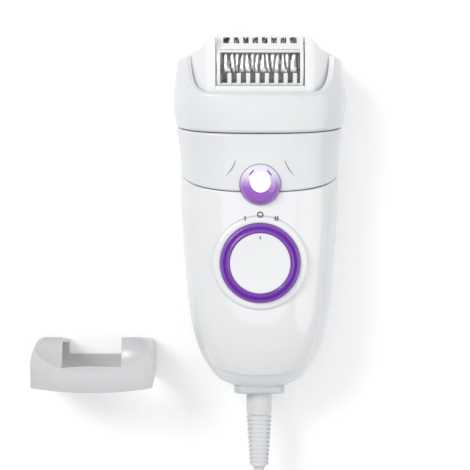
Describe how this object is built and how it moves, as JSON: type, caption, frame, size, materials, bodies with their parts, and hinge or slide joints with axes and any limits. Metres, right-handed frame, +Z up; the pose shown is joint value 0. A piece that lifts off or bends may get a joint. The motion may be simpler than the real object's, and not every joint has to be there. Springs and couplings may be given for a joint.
{
  "type": "epilator",
  "caption": "Corded epilator with a lift-off tweezer head, rotary speed dial, lit release button, cap and coiled adapter cord, lying on its back.",
  "frame": {"origin": "on the flat back face that the handle lies on, under the handle's centre line", "axes": "+Z up out of the front face, +Y along the handle towards the tweezer head, +X to the right of the front face"},
  "size_m": [0.1266, 0.2685, 0.0419],
  "materials": {
    "shell_white": "satin moulded ABS",
    "panel_white": "high gloss",
    "grip_white": "glossy, slightly translucent",
    "bezel_clear": "clear gloss",
    "comb_white": "satin",
    "dial_purple": "satin with fine knurl",
    "dial_white": "gloss",
    "button_purple": "translucent gloss",
    "light_white": "diffusing lens, lit",
    "blade_steel": "polished edges",
    "steel": "turned",
    "brass": "turned",
    "gear_acetal": "natural acetal",
    "inner_grey": "moulded",
    "dark_plastic": "moulded",
    "board_green": "solder mask",
    "wire_red": "insulated",
    "wheel_acetal": "acetal",
    "cord_grey": "satin PVC",
    "tie_grey": "hook and loop",
    "adapter_white": "fine texture",
    "cap_grey": "satin"
  },
  "bodies": {
    "handle": {"rear_housing": "shell_white", "front_housing": "grip_white", "front_panel": "panel_white", "collar": "shell_white", "collar_deck": "inner_grey", "end_collar": "bezel_clear", "dial_bezel": "panel_white", "light_board": "board_green", "circuit_board": "board_green", "rotary_switch": "dark_plastic", "detent_spring": "steel", "motor_can": "steel", "motor_end_bell": "inner_grey", "motor_mount": "inner_grey", "motor_leads": "wire_red", "housing_screws": "steel", "cord_socket": "dark_plastic", "socket_pins": "brass", "button_spring": "steel", "screw_posts": "grip_white"},
    "dial": {"dial_ring": "dial_purple", "dial_disc": "dial_white", "dial_hub": "inner_grey"},
    "button": {"release_button": "button_purple", "light_window": "light_white", "latch_arm": "inner_grey"},
    "rotor": {"motor_shaft": "steel", "drive_dog": "gear_acetal"},
    "head": {"head_shell": "shell_white", "head_frame": "comb_white", "head_tray": "shell_white", "head_base": "inner_grey", "comb_frame": "comb_white", "roller_bushes": "brass", "head_screws": "steel", "gear_pins": "steel"},
    "input_drive": {"input_shaft": "gear_acetal"},
    "transfer_drive": {"cross_shaft": "steel", "crown_gear": "gear_acetal", "transfer_gear": "gear_acetal"},
    "roller": {"roller_core": "inner_grey", "roller_shaft": "steel", "roller_gear": "gear_acetal", "fixed_blades": "blade_steel"},
    "left_blade_set": {"left_blades": "blade_steel"},
    "right_blade_set": {"right_blades": "blade_steel"},
    "left_wheel": {"left_pressure_wheel": "wheel_acetal"},
    "right_wheel": {"right_pressure_wheel": "wheel_acetal"},
    "cord_set": {"connector_body": "cord_grey", "connector_contacts": "brass", "strain_reliefs": "cord_grey", "cord_lead": "cord_grey", "cord_coil": "cord_grey", "cord_tail": "cord_grey", "cord_tie": "tie_grey", "adapter_body": "adapter_white", "adapter_cover": "adapter_white", "plug_pins": "steel"},
    "cap": {"cap": "cap_grey"},
    "idler_drive": {"idler_gear": "gear_acetal"}
  },
  "joints": [
    {"name": "dial_turn", "type": "hinge", "parent": "handle", "child": "dial", "pos_m": [0, -0.0148, 0.037], "axis": [0, 0, 1], "range_deg": [-20, 20]},
    {"name": "button_press", "type": "slide", "parent": "handle", "child": "button", "axis": [0, 0, -1], "range_m": [0, 0.0015], "stiffness_N_per_m": 400, "springref_m": -0.002, "deforming": ["button_spring"]},
    {"name": "motor_spin", "type": "hinge", "parent": "handle", "child": "rotor", "pos_m": [0, 0.01, 0.019], "axis": [0, 1, 0], "continuous": true},
    {"name": "head_lift", "type": "slide", "parent": "handle", "child": "head", "axis": [0, 1, 0], "range_m": [0, 0.03]},
    {"name": "input_spin", "type": "hinge", "parent": "head", "child": "input_drive", "pos_m": [0, 0.03, 0.019], "axis": [0, 1, 0], "continuous": true},
    {"name": "transfer_spin", "type": "hinge", "parent": "head", "child": "transfer_drive", "pos_m": [0, 0.0344, 0.019], "axis": [1, 0, 0], "continuous": true},
    {"name": "roller_spin", "type": "hinge", "parent": "head", "child": "roller", "pos_m": [0, 0.0506, 0.019], "axis": [1, 0, 0], "continuous": true},
    {"name": "left_blades_close", "type": "slide", "parent": "roller", "child": "left_blade_set", "axis": [1, 0, 0], "range_m": [0, 0.00035]},
    {"name": "right_blades_close", "type": "slide", "parent": "roller", "child": "right_blade_set", "axis": [-1, 0, 0], "range_m": [0, 0.00035]},
    {"name": "left_wheel_spin", "type": "hinge", "parent": "head", "child": "left_wheel", "pos_m": [-0.017, 0.0506, 0.0254], "axis": [0, 0, 1], "continuous": true},
    {"name": "right_wheel_spin", "type": "hinge", "parent": "head", "child": "right_wheel", "pos_m": [0.017, 0.0506, 0.0254], "axis": [0, 0, 1], "continuous": true},
    {"name": "connector_pull", "type": "slide", "parent": "handle", "child": "cord_set", "axis": [0, -1, 0], "range_m": [0, 0.012]},
    {"name": "cap_lift", "type": "slide", "parent": "handle", "child": "cap", "axis": [0, 0, 1], "range_m": [0, 0.06]},
    {"name": "idler_spin", "type": "hinge", "parent": "head", "child": "idler_drive", "pos_m": [0.0165, 0.0425, 0.019], "axis": [1, 0, 0], "continuous": true}
  ],
  "couplings": [
    {"joint": "idler_spin", "follows": "roller_spin", "ratio": -1.2857},
    {"joint": "transfer_spin", "follows": "roller_spin", "ratio": 1},
    {"joint": "input_spin", "follows": "roller_spin", "ratio": 2},
    {"joint": "motor_spin", "follows": "roller_spin", "ratio": 2},
    {"joint": "right_wheel_spin", "follows": "roller_spin", "ratio": 3.6571},
    {"joint": "left_wheel_spin", "follows": "roller_spin", "ratio": -3.6571}
  ]
}
